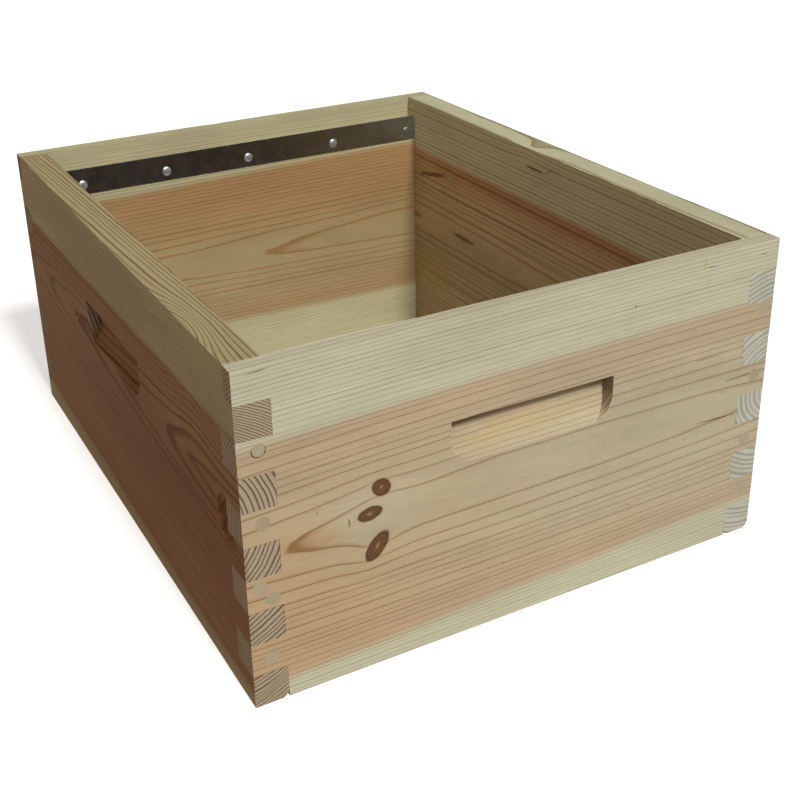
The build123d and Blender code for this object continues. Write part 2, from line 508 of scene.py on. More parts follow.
def growth_rings():
    """Which ring a point lies in and how dense the wood is there."""
    graph, given, taken = new_group(
        "Growth rings",
        {"vector": ("Point", "Lean"), "value": ("Push", *map(label, RING_VALUES))},
        {"value": ("Late", "Wide", "Tone", "Inside")},
    )
    point, seed, broad = given["Point"], given["Seed"], given["Broad"]
    along, _, up = graph.parts(point)
    far = graph.math("DIVIDE", along, BOW_REACH)
    bowed = graph.scaled(graph.scaled(far, far), given["Bow"])
    bow = graph.node("ShaderNodeCombineXYZ", {1: bowed}).outputs[0]
    drift = graph.vector("ADD", graph.times(given["Lean"], along), bow)
    straight = graph.vector("SUBTRACT", point, drift)
    radius = graph.vector("LENGTH", graph.vector("MULTIPLY", straight, (0, 1, 1)))
    shift = graph.node("ShaderNodeCombineXYZ", {0: seed, 1: seed, 2: seed}).outputs[0]
    slow = graph.noise(point, (0.0045, 0.03, 0.03), shift=shift)
    quick = graph.noise(point, (0.016, 0.12, 0.12), shift=shift)
    stray = graph.math("SUBTRACT", graph.scaled(quick, 0.3, slow), 0.65)
    radius = graph.scaled(stray, given["Sway"], radius)
    tilted = graph.scaled(up, given["Heart Tilt"], radius)
    inside = graph.math("SUBTRACT", given["Heart Edge"], tilted)
    outside = graph.math("MAXIMUM", graph.scaled(inside, -1.0), 0.0)
    spread = graph.scaled(outside, given["Close"], radius)
    count = graph.math("ADD", graph.math("DIVIDE", spread, given["Ring Width"]), given["Phase"])
    years = graph.wander(graph.scaled(radius, 0.11, seed))
    count = graph.math("ADD", graph.math("SUBTRACT", years, 0.5), count)
    count = graph.math("SUBTRACT", count, given["Push"])
    year = graph.math("ADD", graph.math("FLOOR", count), seed)
    tone = graph.node("ShaderNodeTexWhiteNoise", {"W": year}, noise_dimensions="1D").outputs["Value"]
    season = graph.math("FRACT", count)
    start = graph.scaled(broad, -0.25, graph.scaled(tone, -0.15, 0.77))
    rise = graph.ramp(season, start, graph.scaled(broad, -0.12, 0.95))
    rise = graph.scaled(rise, graph.scaled(broad, 0.5, 0.45))
    late = graph.math("MAXIMUM", rise, graph.ramp(season, 0.82, 0.96))
    wide = graph.ramp(season, 0.5, 0.8)
    fall = graph.ramp(season, 0.97, 1.0, 1.0, 0.0)
    graph.fill(taken, late=graph.scaled(late, fall), wide=graph.scaled(wide, fall), tone=tone, inside=inside)
    return graph.tree


def fading_patch():
    """How strong an effect is at a point, fading away from its place."""
    graph, given, taken = new_group(
        "Fading patch",
        {"vector": ("Point", "Place", "Reach"), "value": ("Strength",)},
        {"value": ("Strength",)},
    )
    away = graph.vector("DIVIDE", graph.vector("SUBTRACT", given["Point"], given["Place"]), given["Reach"])
    fade = graph.fade(graph.vector("LENGTH", away))
    graph.fill(taken, strength=graph.scaled(fade, given["Strength"]))
    return graph.tree


def spot():
    """How far a point lies from the middle of an oval spot, in spot radii, with a ragged edge."""
    graph, given, taken = new_group(
        "Spot",
        {"vector": ("Point", "Place", "Lean", "Turn", "Size"), "value": ("Ragged",)},
        {"value": ("Distance",)},
    )
    point = given["Point"]
    depth = graph.parts(point)[1]
    upright = graph.vector("SUBTRACT", point, graph.times(given["Lean"], depth))
    inputs = {
        "Vector": upright, "Location": given["Place"], "Rotation": given["Turn"], "Scale": given["Size"],
    }
    local = graph.node("ShaderNodeMapping", inputs, vector_type="TEXTURE").outputs[0]
    rough = graph.math("SUBTRACT", graph.noise(point, 0.22, 3.0), 0.5)
    graph.fill(taken, distance=graph.scaled(rough, given["Ragged"], graph.vector("LENGTH", local)))
    return graph.tree


def knot_wood():
    """Masks, tone and push of a knot, from the distance to its middle in knot radii."""
    graph, given, taken = new_group(
        "Knot wood",
        {"vector": ("Point",), "value": ("Distance", "Push", "Reach")},
        {"value": ("Mask", "Tone", "Eye", "Halo", "Push")},
    )
    distance = given["Distance"]
    flecks = graph.noise(given["Point"], 0.9, 3.0, 0.6)
    swirl = graph.scaled(flecks, 6.0, graph.scaled(distance, 15.0))
    rings = graph.scaled(graph.math("SINE", swirl), 0.16, flecks)
    rim = graph.ramp(distance, 0.62, 1.0, 0.12, -0.5)
    ragged = graph.scaled(graph.math("SUBTRACT", flecks, 0.5), 0.7, distance)
    fade = graph.fade(graph.math("DIVIDE", distance, given["Reach"]))
    graph.fill(
        taken,
        mask=graph.ramp(distance, 0.90, 1.14, 0.95, 0.0),
        tone=graph.math("ADD", rings, rim, clamp=True),
        eye=graph.ramp(ragged, 0.0, 0.28, 0.7, 0.0),
        halo=graph.ramp(distance, 0.95, 1.8, 0.5, 0.0),
        push=graph.scaled(fade, given["Push"]),
    )
    return graph.tree


def wood_fibre():
    """Fine streaks and resinous canals along the grain, and slow clouds of colour."""
    graph, given, taken = new_group(
        "Wood fibre",
        {"vector": ("Point",)},
        {"value": ("Fibre", "Canal", "Cloud")},
    )
    point = given["Point"]
    canal = graph.noise(point, (0.10, 1.7, 1.7), 1.0)
    graph.fill(
        taken,
        fibre=graph.noise(point, (0.045, 1.5, 1.5), 4.0, 0.62),
        canal=graph.ramp(canal, 0.70, 0.80),
        cloud=graph.noise(point, (0.009, 0.04, 0.04), 3.0, 0.55),
    )
    return graph.tree


# What the surface takes from the masks, from the settings and from a board's timber
PINE_MASKS = (
    "Late", "Wide", "Tone", "Inside", "Fibre", "Canal", "Cloud", "Knot", "Knot Tone", "Eye", "Halo", "Blush",
    "Pitch", "Resin", "End", "Bold", "End Bold",
)
PINE_COLOURS = (
    "sap_early", "sap_late", "heart_early", "heart_blush", "heart_warm", "heart_late", "end_early",
    "end_late", "knot_pale", "knot_dark", "knot_eye", "pitch_colour", "resin_colour",
)
PINE_TINTS = ("heart_tint", "sap_tint", "end_tint", "late_tint")


def pine_surface():
    """Colour, roughness and relief of pine from its rings, fibre, knots and marks, some of them painted
    shade.
    """
    graph, given, taken = new_group(
        "Pine surface",
        {"value": PINE_MASKS, "colour": tuple(map(label, PINE_COLOURS + PINE_TINTS))},
        {"colour": ("Color",), "value": ("Roughness", "Height")},
    )
    late, end, blush, bold = given["Late"], given["End"], given["Blush"], given["Bold"]
    cloud = graph.math("SUBTRACT", given["Cloud"], 0.5)
    inside = graph.scaled(blush, 6.0, graph.scaled(cloud, 7.0, given["Inside"]))
    heart = graph.ramp(inside, -3.5, 4.0)
    heart_early = graph.blend(graph.ramp(inside, 40.0, 5.0), given["Heart Early"], given["Heart Blush"])
    heart_early = graph.blend(blush, heart_early, given["Heart Warm"])
    tint = graph.blend(heart, given["Sap Tint"], given["Heart Tint"])
    early = graph.tinted(graph.blend(heart, given["Sap Early"], heart_early), tint)
    dense = graph.tinted(graph.blend(heart, given["Sap Late"], given["Heart Late"]), tint)
    dense = graph.tinted(dense, given["Late Tint"])
    strength = graph.scaled(bold, graph.scaled(given["Tone"], 0.5, 0.6))
    strength = graph.scaled(strength, graph.scaled(blush, 0.35, 1.0))
    long_grain = graph.blend(graph.scaled(late, strength), early, dense)
    long_grain = graph.blend(graph.scaled(given["Canal"], 0.3), long_grain, dense)
    long_grain = graph.blend(given["Halo"], long_grain, given["Heart Warm"])
    line = graph.scaled(given["Wide"], given["End Bold"])
    end_grain = graph.blend(line, given["End Early"], given["End Late"])
    wood = graph.blend(end, long_grain, graph.tinted(end_grain, given["End Tint"]))
    fibre = graph.math("SUBTRACT", given["Fibre"], 0.5)
    shade = graph.scaled(fibre, graph.scaled(bold, 0.35, 0.08), graph.scaled(cloud, 0.36, 1.0))
    wood = graph.tinted(wood, graph.grey(shade))
    # Yellow marks: the wood's own resinous streaks, and patches of painted warm shade
    wood = graph.blend(given["Resin"], wood, given["Resin Colour"])
    knot = graph.blend(given["Knot Tone"], given["Knot Dark"], given["Knot Pale"])
    knot = graph.blend(given["Eye"], knot, given["Knot Eye"])
    wood = graph.blend(given["Knot"], wood, knot)
    # Dark marks: the wood's own streaks, and patches of painted shade
    wood = graph.blend(given["Pitch"], wood, given["Pitch Colour"])
    rough = graph.scaled(end, 0.15, graph.scaled(late, -0.10, 0.62))
    rough = graph.scaled(given["Knot"], -0.15, rough)
    height = graph.scaled(given["Pitch"], -0.6, graph.scaled(late, 0.35, given["Fibre"]))
    graph.fill(taken, color=wood, roughness=rough, height=height)
    return graph.tree


# Materials


def new_material(name):
    """A material with its graph and its Principled shader."""
    material = bpy.data.materials.new(name)
    material.use_nodes = True
    return material, Graph(material.node_tree), material.node_tree.nodes["Principled BSDF"]


def in_log(timber, along, up, deep=0.0):
    """A place under a board's shown face, seen along the grain, out from the pith and up from it."""
    across, middle = timber.pith
    out = timber.face + deep - across
    return (along, -out if timber.turned else out, up - middle)


def log_point(graph, timber, where):
    """The shaded point in millimetres along the grain, out from the pith and up from it."""
    turn = (0, 0, math.radians(-90)) if timber.turned else (0, 0, 0)
    scale = (1 / MM, 1 / MM, 1 / MM)
    origin = in_log(timber, 0, 0, -timber.face)
    inputs = {"Vector": where, "Location": origin, "Rotation": turn, "Scale": scale}
    return graph.node("ShaderNodeMapping", inputs, vector_type="POINT").outputs[0]


def patches(graph, timber, point, places):
    """The sum of a board's patches of one effect."""
    total = 0.0
    for patch in places:
        place = in_log(timber, patch.along, patch.up, patch.deep)
        made = graph.place(
            shared(fading_patch), point=point, place=place, reach=patch.reach, strength=patch.strength,
        )
        total = graph.math("ADD", made["Strength"], total)
    return total


def from_spot(graph, point, each, place, lean, depth, ragged):
    """How far the point lies from the middle of a knot or a mark."""
    made = graph.place(
        shared(spot), point=point, place=place, lean=(0, 0, lean), turn=(0, -math.radians(each.turn), 0),
        size=(each.length, depth, each.height), ragged=ragged,
    )
    return made["Distance"]


KNOT_RAGGED = 0.22
KNOT_DEPTH = 1e6  # right through the board
MARK_RAGGED = 0.9
MARK_DEPTH = 6.0


def branches(graph, timber, point):
    """How far a board's rings are pushed aside, and the masks of its knots."""
    mask, tone, eye, halo = 0.0, 0.0, 0.0, 0.0
    push = patches(graph, timber, point, timber.swells)
    for knot in timber.knots:
        _, out, rise = in_log(timber, knot.along, knot.up)
        at_pith = (knot.along, 0, 0)
        distance = from_spot(graph, point, knot, at_pith, rise / out, KNOT_DEPTH, KNOT_RAGGED)
        wood = graph.place(
            shared(knot_wood), point=point, distance=distance, push=knot.push, reach=knot.reach,
        )
        push = graph.math("ADD", wood["Push"], push)
        mask = graph.math("MAXIMUM", wood["Mask"], mask)
        tone = graph.scaled(wood["Mask"], wood["Tone"], tone)
        eye = graph.math("MAXIMUM", wood["Eye"], eye)
        halo = graph.math("MAXIMUM", wood["Halo"], halo)
    return push, mask, tone, eye, halo


def mask_of(graph, timber, point, marks):
    """The mask of a board's marks of one kind."""
    mask = 0.0
    for mark in marks:
        place = in_log(timber, mark.along, mark.up, mark.deep)
        distance = from_spot(graph, point, mark, place, 0, MARK_DEPTH, MARK_RAGGED)
        mask = graph.math("MAXIMUM", graph.ramp(distance, 1.0, 0.45, 0.0, mark.strength), mask)
    return mask


def pine(node):
    """The pine of one board, cut from its own place in a log."""
    settings = bpy.context.scene.hive_body.pine
    timber = TIMBER[node]
    material, graph, shader = new_material(f"pine_{node}")
    where = graph.node("ShaderNodeTexCoord", {}).outputs
    point = log_point(graph, timber, where["Object"])
    push, knot, knot_tone, eye, halo = branches(graph, timber, point)
    ring_values = {name: getattr(timber, name) for name in RING_VALUES}
    rings = graph.place(shared(growth_rings), point=point, lean=(0, *timber.lean), push=push, **ring_values)
    fibre = graph.place(shared(wood_fibre), point=point)
    facing = graph.parts(where["Normal"])[1 if timber.turned else 0]
    colours = {name: rgba(getattr(settings, name)) for name in PINE_COLOURS}
    tints = {name: rgba(getattr(timber, name)) for name in PINE_TINTS}
    surface = graph.place(
        shared(pine_surface), late=rings["Late"], wide=rings["Wide"], tone=rings["Tone"],
        inside=rings["Inside"], fibre=fibre["Fibre"], canal=fibre["Canal"], cloud=fibre["Cloud"],
        knot=knot, knot_tone=knot_tone, eye=eye, halo=halo,
        blush=patches(graph, timber, point, timber.blushes),
        pitch=mask_of(graph, timber, point, timber.pitch), resin=mask_of(graph, timber, point, timber.resin),
        end=graph.ramp(graph.math("ABSOLUTE", facing), 0.6, 0.9), bold=timber.bold, end_bold=timber.end_bold,
        **colours, **tints,
    )
    shader.inputs["Specular IOR Level"].default_value = 0.1
    graph.fill(
        shader.inputs, base_color=surface["Color"], roughness=surface["Roughness"],
        normal=graph.bump(surface["Height"], settings.fibre_depth, 0.4 * MM),
    )
    return material


def millimetres(graph):
    """The shaded point in millimetres."""
    return graph.times(graph.node("ShaderNodeTexCoord", {}).outputs["Object"], 1 / MM)


# A painted sheen that makes the strips paler and bluer towards their right ends, in millimetres
PAINTED_SHEEN_PLACE = (170.0, 230.0, 215.0)
PAINTED_SHEEN_REACH = (80.0, 500.0, 60.0)
PAINTED_SHEEN_STRENGTH = 0.9


def galvanised():
    """Dull zinc with faint clouds, a painted sheen that makes one end paler and bluer, and fine scratches
    along the strip.
    """
    settings = bpy.context.scene.hive_body.metal
    material, graph, shader = new_material("galvanised_strip")
    point = millimetres(graph)
    cloud = graph.noise(point, 0.07, 3.0, 0.6)
    scratch = graph.noise(point, (0.03, 1.0, 1.9), 4.0, 0.7)
    # Painted sheen: paler and bluer towards the right ends
    pale = graph.place(
        shared(fading_patch), point=point, place=PAINTED_SHEEN_PLACE, reach=PAINTED_SHEEN_REACH, strength=PAINTED_SHEEN_STRENGTH,
    )
    tint = graph.blend(graph.ramp(cloud, 0.3, 0.7), rgba(settings.zinc_dull), rgba(settings.zinc))
    graph.fill(
        shader.inputs,
        base_color=graph.blend(pale["Strength"], tint, rgba(settings.zinc_painted_sheen)),
        metallic=1.0,
        roughness=graph.scaled(cloud, 0.1, graph.scaled(scratch, 0.12, 0.16)),
        normal=graph.bump(scratch, 0.15, 0.05 * MM),
    )
    return material


DULL_REACH = (14.0, 14.0, 14.0)
DULL_STRENGTH = 0.9


def bright_wire():
    """Bright nail steel with small dents, and the last nail at the back gone dull."""
    settings = bpy.context.scene.hive_body.metal
    material, graph, shader = new_material("bright_nail")
    point = millimetres(graph)
    dents = graph.noise(point, 0.9, 3.0, 0.6)
    low, high = islands("back_rest_nails")[-1]
    head = Vector(((low.x + high.x) / 2, low.y, (low.z + high.z) / 2)) / MM
    dull = graph.place(
        shared(fading_patch), point=point, place=head, reach=DULL_REACH, strength=DULL_STRENGTH,
    )
    tint = graph.blend(graph.ramp(dents, 0.35, 0.6), rgba(settings.bright, 0.6), rgba(settings.bright))
    graph.fill(
        shader.inputs,
        base_color=graph.blend(dull["Strength"], tint, rgba(settings.zinc, 0.5)),
        metallic=0.85,
        roughness=graph.scaled(dents, 0.25, 0.25),
        normal=graph.bump(dents, 0.3, 0.2 * MM),
    )
    return material


def nail_paste():
    """Dry filler, pale and a little grainy."""
    settings = bpy.context.scene.hive_body.filler
    material, graph, shader = new_material("nail_filler")
    point = millimetres(graph)
    grain = graph.noise(point, 0.8, 4.0, 0.65)
    batch = graph.ramp(graph.noise(point, 0.02, 1.0), 0.35, 0.65, 0.0, 0.8)
    tint = graph.blend(graph.ramp(grain, 0.3, 0.7), rgba(settings.paste, 0.85), rgba(settings.paste))
    graph.fill(
        shader.inputs,
        base_color=graph.blend(batch, tint, rgba(settings.batch), "MULTIPLY"),
        roughness=graph.scaled(grain, 0.2, 0.55),
        normal=graph.bump(grain, 0.25, 0.3 * MM),
    )
    return material


def pale_floor():
    """Matt floor paint, which throws back less light than it shows and keeps its shadows pale."""
    settings = bpy.context.scene.hive_body.stage
    material, graph, shader = new_material("floor")
    seen = graph.node("ShaderNodeLightPath", {}).outputs["Is Camera Ray"]
    graph.fill(
        shader.inputs,
        base_color=graph.blend(seen, rgba(settings.bounce), rgba(settings.floor)),
        roughness=0.9,
        emission_color=graph.blend(seen, rgba((0, 0, 0)), rgba(settings.glow)),
        emission_strength=1.0,
    )
    return material


# Meshes


def merged(node):
    """A CAD node's mesh with its loose triangles joined."""
    shape = bmesh.new()
    shape.from_mesh(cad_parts[node].data)
    bmesh.ops.remove_doubles(shape, verts=shape.verts, dist=WELD)
    return shape


SEAM_ANGLE = math.radians(0.5)


def copy_of(node):
    """A CAD node's mesh with its flat faces made whole."""
    shape = merged(node)
    bmesh.ops.dissolve_limit(
        shape, angle_limit=SEAM_ANGLE, use_dissolve_boundaries=False, verts=shape.verts, edges=shape.edges,
        delimit=set(),
    )
    return shape


def islands(node):
    """Lowest and highest corner of each separate solid of a CAD node, from left to right."""
    shape = merged(node)
    left = set(shape.verts)
    boxes = []
    while left:
        found = [left.pop()]
        for vert in found:
            near = {edge.other_vert(vert) for edge in vert.link_edges} & left
            left -= near
            found.extend(near)
        spans = [sorted(vert.co[axis] for vert in found) for axis in range(3)]
        boxes.append((Vector([span[0] for span in spans]), Vector([span[-1] for span in spans])))
    shape.free()
    return sorted(boxes, key=lambda box: tuple(box[0]))


FLAT = 0.9999
SHARP_ANGLE = math.radians(40)


def finished(shape, name, material, node):
    """Makes a shape a shaded piece that stands for a CAD node, with its flat faces shaded flat."""
    shape.normal_update()
    for face in shape.faces:
        face.smooth = max(abs(part) for part in face.normal) < FLAT
    for edge in shape.edges:
        edge.smooth = edge.calc_face_angle() < SHARP_ANGLE
    mesh = bpy.data.meshes.new(name)
    shape.to_mesh(mesh)
    shape.free()
    mesh.materials.append(material)
    piece = bpy.data.objects.new(name, mesh)
    bpy.context.scene.collection.objects.link(piece)
    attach(piece, BODY)
    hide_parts(node)


def nail_axes():
    """Where nails run front to back through the boards."""
    nodes = [f"{corner}_nail_fillers" for corner in CORNERS] + [f"{end}_rest_nails" for end in ENDS]
    return [(low + high) / 2 for node in nodes for low, high in islands(node)]


HOLE_REACH = 5.0 * MM
ARRIS_ANGLE = math.radians(25)


def arrises(shape, nails):
    """The edges that stand out, apart from those of nail holes."""
    found = []
    for edge in shape.edges:
        if not edge.is_convex or edge.calc_face_angle() < ARRIS_ANGLE:
            continue
        middle = (edge.verts[0].co + edge.verts[1].co) / 2
        short = edge.calc_length() < HOLE_REACH
        if short and any(math.hypot(middle.x - nail.x, middle.z - nail.z) < HOLE_REACH for nail in nails):
            continue
        found.append(edge)
    return found


def on_outline(edge):
    """Whether an edge is one of the box's outer edges."""
    planes = 0
    for axis in range(3):
        for plane in (BOX_LOW[axis], BOX_HIGH[axis]):
            planes += all(abs(vert.co[axis] - plane) < WELD for vert in edge.verts)
    return planes > 1


def in_joint(edge):
    """Whether an edge belongs to a finger joint."""
    corner = all(abs(v.co.x) > INNER_X - MM and abs(v.co.y) > INNER_Y - MM for v in edge.verts)
    return corner and not on_outline(edge)


def bevel(shape, edges, width, segments):
    """Rounds edges."""
    made = bmesh.ops.bevel(
        shape, geom=edges, offset=width, offset_type="OFFSET", affect="EDGES", segments=segments,
        profile=0.5, material=-1, clamp_overlap=True,
    )
    return made["faces"]


def ease_arrises(shape, nails, settings):
    """Rounds every arris a little, with the rims cut into short steps first so that they can wear."""
    bevel(shape, [edge for edge in arrises(shape, nails) if in_joint(edge)], settings.joint_arris, 1)
    for edge in arrises(shape, nails):
        on_rim = all(vert.co.z > RIM - WELD for vert in edge.verts)
        cuts = int(edge.calc_length() / settings.rim_step) if on_rim else 0
        if cuts:
            bmesh.ops.bisect_edges(shape, edges=[edge], cuts=cuts)
    return bevel(shape, [edge for edge in arrises(shape, nails) if not in_joint(edge)], settings.arris, 2)


WEAR_START = 6.0 * MM  # from a board's end
WEAR_FADE = 12.0 * MM
WEAR_WAVES = ((25.0, 1.0), (80.0, 0.6))  # how many to a metre, and how strong
WEAR_CURVE = 1.4
WEAR_DROP = 0.8  # how far an edge wears down for how far it wears in
UPPER_ROWS = 0.9  # an eased edge's upper points lie less far down than this, in widths of the eased edge
LOWER_ROWS = 0.1  # and its lower points further down than this


def wear_rim(shape, eased, node, settings):
    """Widens the eased edges of the rim unevenly, as planing and handling do, but not at their ends."""
    low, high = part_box(node)
    along = 0 if high.x - low.x > high.y - low.y else 1
    across = 1 - along
    worn = {vert for face in eased for vert in face.verts if vert.co.z > RIM - 1.5 * settings.arris}
    if not worn:
        return
    places = [vert.co[across] for vert in worn]
    middle = (min(places) + max(places)) / 2
    for vert in worn:
        to_end = min(vert.co[along] - low[along], high[along] - vert.co[along])
        fade = min(1.0, max(0.0, (to_end - WEAR_START) / WEAR_FADE))
        swell = sum(strong * noise.noise(vert.co * waves) for waves, strong in WEAR_WAVES)
        depth = fade * settings.rim_wear * max(0.0, swell) ** WEAR_CURVE
        drop = RIM - vert.co.z
        if drop < settings.arris * UPPER_ROWS:
            vert.co[across] -= math.copysign(depth, vert.co[across] - middle)
        if drop > settings.arris * LOWER_ROWS:
            vert.co.z -= depth * WEAR_DROP


CHIP_LEANS = (0.7, 1.6)  # how steep the two cuts are
CHIP_CUT = 0.45  # how far in they lie, in chip sizes


def chip_corner(shape, corner, outward, settings):
    """Breaks a finger's bottom corner off with two cuts."""
    for lean in CHIP_LEANS:
        normal = Vector((outward.x, outward.y, outward.z * lean)).normalized()
        place = corner - normal * settings.chip * CHIP_CUT
        geometry = shape.verts[:] + shape.edges[:] + shape.faces[:]
        cut = bmesh.ops.bisect_plane(
            shape, geom=geometry, dist=WELD, plane_co=place, plane_no=normal, clear_outer=True,
        )["geom_cut"]
        rim = [item for item in cut if isinstance(item, bmesh.types.BMEdge)]
        bmesh.ops.holes_fill(shape, edges=rim, sides=0)


# Finger corners broken at the bottom of the front: where they lie along X, and the way that they point
CHIPS = {
    "left_board": ((-INNER_X, 1),),
    "right_board": ((INNER_X, -1), (BOX_HIGH.x, 1)),
}

# The hollow where a knot broke out of the left board's outer face, beside a finger
HOLLOW_MIDDLE = Vector((BOX_LOW.x, BOX_LOW.y + 26.0 * MM, 130.0 * MM))
HOLLOW_REACH = Vector((0.0, 14.0, 17.0)) * MM
HOLLOW_STEP = 2.5 * MM
HOLLOW_CURVE = 0.6
HOLLOW_RAGGED = 0.25
HOLLOW_GRAIN = 220.0  # ragged bits to a metre
HOLLOW_EDGE = 0.9  # where the ragged part ends, in shares of its reach


def cut_faces(shape, faces, axis, place):
    """Cuts flat faces along a plane across an axis."""
    geometry = set(faces)
    for face in faces:
        geometry.update(face.edges)
        geometry.update(face.verts)
    normal = Vector((axis == 0, axis == 1, axis == 2))
    bmesh.ops.bisect_plane(shape, geom=list(geometry), dist=WELD, plane_co=normal * place, plane_no=normal)


def hollow_faces(shape, reach_y, reach_z):
    """The outer faces whose middles lie within a reach of the hollow's."""
    found = []
    for face in shape.faces:
        away = face.calc_center_median() - HOLLOW_MIDDLE
        near = away.y < reach_y and abs(away.z) < reach_z
        if near and all(abs(vert.co.x - HOLLOW_MIDDLE.x) < WELD for vert in face.verts):
            found.append(face)
    return found


def break_hollow(shape, settings):
    """Cuts a fine net into the outer face round the hollow and pushes it in."""
    reach = HOLLOW_REACH + Vector((0, MM, MM))
    cut_faces(shape, hollow_faces(shape, math.inf, math.inf), 1, HOLLOW_MIDDLE.y + reach.y)
    for side in (-1, 1):
        cut_faces(shape, hollow_faces(shape, reach.y, math.inf), 2, HOLLOW_MIDDLE.z + side * reach.z)
    for axis in (1, 2):
        steps = int(reach[axis] / HOLLOW_STEP)
        for step in range(-steps, steps + 1):
            place = HOLLOW_MIDDLE[axis] + step * HOLLOW_STEP
            cut_faces(shape, hollow_faces(shape, reach.y, reach.z), axis, place)
    for vert in {v for face in hollow_faces(shape, reach.y, reach.z) for v in face.verts}:
        away = vert.co - HOLLOW_MIDDLE
        share_out = math.hypot(away.y / HOLLOW_REACH.y, away.z / HOLLOW_REACH.z)
        ragged = HOLLOW_RAGGED * noise.noise(vert.co * HOLLOW_GRAIN) * (share_out < HOLLOW_EDGE)
        depth = max(0.0, 1.0 - share_out**2 + ragged) ** HOLLOW_CURVE
        vert.co.x += settings.hollow * min(1.0, depth)


def board(node):
    """One board with its breaks, eased arrises and worn rim."""
    settings = bpy.context.scene.hive_body.pine
    shape = copy_of(node)
    for x, side in CHIPS.get(node, ()):
        chip_corner(shape, Vector((x, BOX_LOW.y, BOX_LOW.z)), Vector((side, -1, -1)), settings)
    if node == "left_board":
        break_hollow(shape, settings)
    eased = ease_arrises(shape, nail_axes(), settings)
    wear_rim(shape, eased, node, settings)
    finished(shape, f"{node}_wood", pine(node), node)


SQUARE_ANGLE = math.radians(80)


def strip(end):
    """A steel strip with its edges broken."""
    settings = bpy.context.scene.hive_body.metal
    node = f"{end}_frame_rest"
    shape = copy_of(node)
    square = [edge for edge in shape.edges if edge.is_convex and edge.calc_face_angle() > SQUARE_ANGLE]
    bevel(shape, [edge for edge in square if edge.calc_length() > HOLE_REACH], settings.strip_edge, 1)
    finished(shape, f"{end}_rest_strip", shared(galvanised), node)


# A nail's head from its top to its underside: how far out in head radii, and how far down in head depths
NAIL_DOME = ((0, 0), (0.45, 0.12), (0.8, 0.4), (1, 0.8), (0.97, 1))
POINT_TAPER = 2  # length of a nail's point, in wire diameters


def rest_nails(end):
    """The short nails of one strip, each turned from a profile, with a domed head."""
    settings = bpy.context.scene.hive_body.metal
    node = f"{end}_rest_nails"
    inward = 1 if end == "front" else -1
    turn = Matrix.Rotation(math.radians(-90 * inward), 4, "X")
    wire, head = settings.wire / 2, settings.head_depth
    shape = bmesh.new()
    for low, high in islands(node):
        radius, length = (high.x - low.x) / 2, high.y - low.y
        profile = [(out * radius, down * head) for out, down in NAIL_DOME]
        profile += [(wire, head), (wire, length - POINT_TAPER * settings.wire), (0, length)]
        before = set(shape.verts)
        verts = [shape.verts.new((out, 0, -down)) for out, down in profile]
        edges = [shape.edges.new(pair) for pair in zip(verts, verts[1:])]
        bmesh.ops.spin(
            shape, geom=verts + edges, cent=(0, 0, 0), axis=(0, 0, 1), angle=math.tau,
            steps=settings.head_sides, use_merge=True,
        )
        head_top = Vector(((low.x + high.x) / 2, high.y if inward > 0 else low.y, (low.z + high.z) / 2))
        made = [vert for vert in shape.verts if vert not in before]
        bmesh.ops.transform(shape, matrix=Matrix.Translation(head_top) @ turn, verts=made)
    bmesh.ops.remove_doubles(shape, verts=shape.verts, dist=WELD)
    bmesh.ops.recalc_face_normals(shape, faces=shape.faces)
    finished(shape, f"{end}_bright_nails", shared(bright_wire), node)


def raise_cap(shape, cap, rise, widen):
    """Extrudes a flat cap upwards, widens it about the axis and gives the new cap."""
    cap = bmesh.ops.extrude_discrete_faces(shape, faces=[cap])["faces"][0]
    for vert in cap.verts:
        factor = widen(vert.co) if callable(widen) else widen
        vert.co = (vert.co.x * factor, vert.co.y * factor, vert.co.z + rise)
    return cap


SHRUNK_CORNER = "front_left"  # whose top filler has shrunk
SMEAR_LEAST = 0.7
SMEAR_GRAIN = 300.0  # uneven bits to a metre
SMEAR_RISE = 0.25  # how far the smear rises, in shares of what stands proud
FILLER_DOME = ((0.55, 0.93), (0.2, 0.6))  # the steps above it: how far each one rises and draws in


def fillers(corner):
    """The filler over one corner's sunk nails: a plug, smeared a little past its hole and slightly proud."""
    settings = bpy.context.scene.hive_body.filler
    node = f"{corner}_nail_fillers"
    outward = -1 if corner.startswith("front") else 1
    turn = Matrix.Rotation(math.radians(-90 * outward), 4, "X")
    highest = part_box(node)[1].z
    shape = bmesh.new()
    for low, high in islands(node):
        radius, depth = (high.x - low.x) / 2, high.y - low.y
        middle = (low + high) / 2
        shrunk = corner == SHRUNK_CORNER and high.z > highest - WELD

        def smear(place):
            uneven = noise.noise((place + middle) * SMEAR_GRAIN)
            return 1 + settings.smear / radius * (SMEAR_LEAST + uneven)

        before = set(shape.verts)
        start = radius - settings.shrunk if shrunk else radius
        bmesh.ops.create_cone(
            shape, cap_ends=True, segments=settings.sides, radius1=start, radius2=start, depth=depth,
            matrix=Matrix.Translation((0, 0, depth / 2)),
        )
        plug = [face for face in shape.faces if not before.intersection(face.verts)]
        cap = max(plug, key=lambda face: face.calc_center_median().z)
        cap = raise_cap(shape, cap, SMEAR_RISE * settings.proud, 1.0 if shrunk else smear)
        for rise, narrow in FILLER_DOME:
            cap = raise_cap(shape, cap, rise * settings.proud, narrow)
        made = [vert for vert in shape.verts if vert not in before]
        face = low.y if outward < 0 else high.y
        place = Vector((middle.x, face - outward * depth, middle.z + shrunk * settings.shrunk))
        bmesh.ops.transform(shape, matrix=Matrix.Translation(place) @ turn, verts=made)
    bmesh.ops.recalc_face_normals(shape, faces=shape.faces)
    finished(shape, f"{corner}_filler_spots", shared(nail_paste), node)


# Stage


